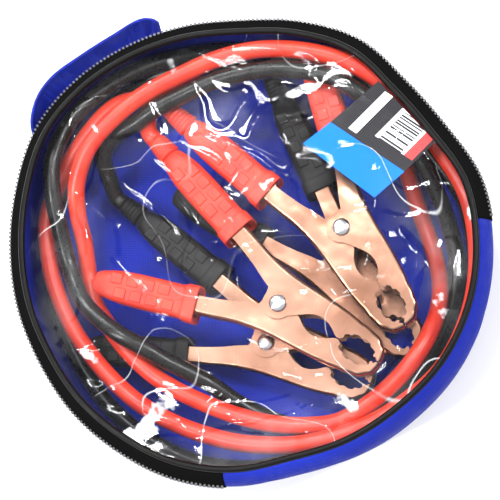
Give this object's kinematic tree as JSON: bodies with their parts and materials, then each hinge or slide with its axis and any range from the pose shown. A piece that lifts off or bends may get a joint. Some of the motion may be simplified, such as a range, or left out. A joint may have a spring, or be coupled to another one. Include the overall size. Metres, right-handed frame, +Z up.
{
  "type": "car jumper cable set in round zip case",
  "caption": "Coiled red and black car jumper cables with sprung crocodile clamps, packed in a flat round zip case with a clear lid and a webbing carry loop.",
  "frame": {"origin": "on the floor, under the middle of the round case", "axes": "+Z up out of the clear lid, +Y towards the carry loop, -Y towards the lid's fabric hinge, +X to the right seen from the hinge"},
  "size_m": [0.2111, 0.2303, 0.058],
  "materials": {
    "nylon": "royal blue woven nylon",
    "webbing": "ribbed royal blue webbing",
    "zip_tape": "black woven zip tape",
    "zip_teeth": "black nylon coil teeth",
    "piping": "satin black vinyl piping",
    "clear_vinyl": "clear soft vinyl sheet",
    "card": "satin dark grey card with a blue panel",
    "coppered_steel": "pale copper plate on pressed steel",
    "bright_steel": "bright zinc plate",
    "red_grip": "soft red vinyl",
    "black_grip": "soft black vinyl",
    "red_cable": "satin red vinyl sheath",
    "black_cable": "satin black vinyl sheath"
  },
  "bodies": {
    "case": {"case_tray": "nylon", "hinge_band": "nylon", "carry_loop": "webbing", "zip_tape_lower": "zip_tape", "zip_teeth_lower": "zip_teeth", "piping_hinge": "piping", "window_hinge": "clear_vinyl", "clamp_a_jaw_fixed": "coppered_steel", "clamp_a_grip_fixed": "red_grip", "clamp_a_rivet": "bright_steel", "clamp_a_spring": "bright_steel", "clamp_a_relief": "red_grip", "clamp_b_jaw_fixed": "coppered_steel", "clamp_b_grip_fixed": "red_grip", "clamp_b_rivet": "bright_steel", "clamp_b_spring": "bright_steel", "clamp_b_relief": "red_grip", "clamp_c_jaw_fixed": "coppered_steel", "clamp_c_grip_fixed": "black_grip", "clamp_c_rivet": "bright_steel", "clamp_c_spring": "bright_steel", "clamp_c_relief": "black_grip", "clamp_d_jaw_fixed": "coppered_steel", "clamp_d_grip_fixed": "black_grip", "clamp_d_rivet": "bright_steel", "clamp_d_spring": "bright_steel", "clamp_d_relief": "black_grip", "lead_red": "red_cable", "lead_black": "black_cable"},
    "lid": {"window_lid": "clear_vinyl", "piping_lid": "piping", "zip_tape_upper": "zip_tape", "zip_teeth_upper": "zip_teeth", "insert_card": "card"},
    "clamp_a_moving_half": {"clamp_a_jaw_moving": "coppered_steel", "clamp_a_grip_moving": "red_grip"},
    "clamp_b_moving_half": {"clamp_b_jaw_moving": "coppered_steel", "clamp_b_grip_moving": "red_grip"},
    "clamp_c_moving_half": {"clamp_c_jaw_moving": "coppered_steel", "clamp_c_grip_moving": "black_grip"},
    "clamp_d_moving_half": {"clamp_d_jaw_moving": "coppered_steel", "clamp_d_grip_moving": "black_grip"}
  },
  "joints": [
    {"name": "lid_fold", "type": "hinge", "parent": "case", "child": "lid", "pos_m": [0, -0.07, 0.0582], "axis": [1, 0, 0], "range_deg": [0, 110]},
    {"name": "clamp_a_jaws", "type": "hinge", "parent": "case", "child": "clamp_a_moving_half", "pos_m": [-0.0054, -0.0297, 0.0353], "axis": [0, 0, -1], "range_deg": [0, 25], "stiffness_Nm_per_rad": 1.2, "springref_deg": -34.38},
    {"name": "clamp_b_jaws", "type": "hinge", "parent": "case", "child": "clamp_b_moving_half", "pos_m": [0.0386, -0.0257, 0.0353], "axis": [0, 0, 1], "range_deg": [0, 22], "stiffness_Nm_per_rad": 1.2, "springref_deg": -34.38},
    {"name": "clamp_c_jaws", "type": "hinge", "parent": "case", "child": "clamp_c_moving_half", "pos_m": [-0.0222, -0.0349, 0.0128], "axis": [0, 0, -1], "range_deg": [0, 6], "stiffness_Nm_per_rad": 1.2, "springref_deg": -34.38},
    {"name": "clamp_d_jaws", "type": "hinge", "parent": "case", "child": "clamp_d_moving_half", "pos_m": [0.0261, -0.0337, 0.0128], "axis": [0, 0, -1], "range_deg": [0, 7], "stiffness_Nm_per_rad": 1.2, "springref_deg": -34.38}
  ]
}
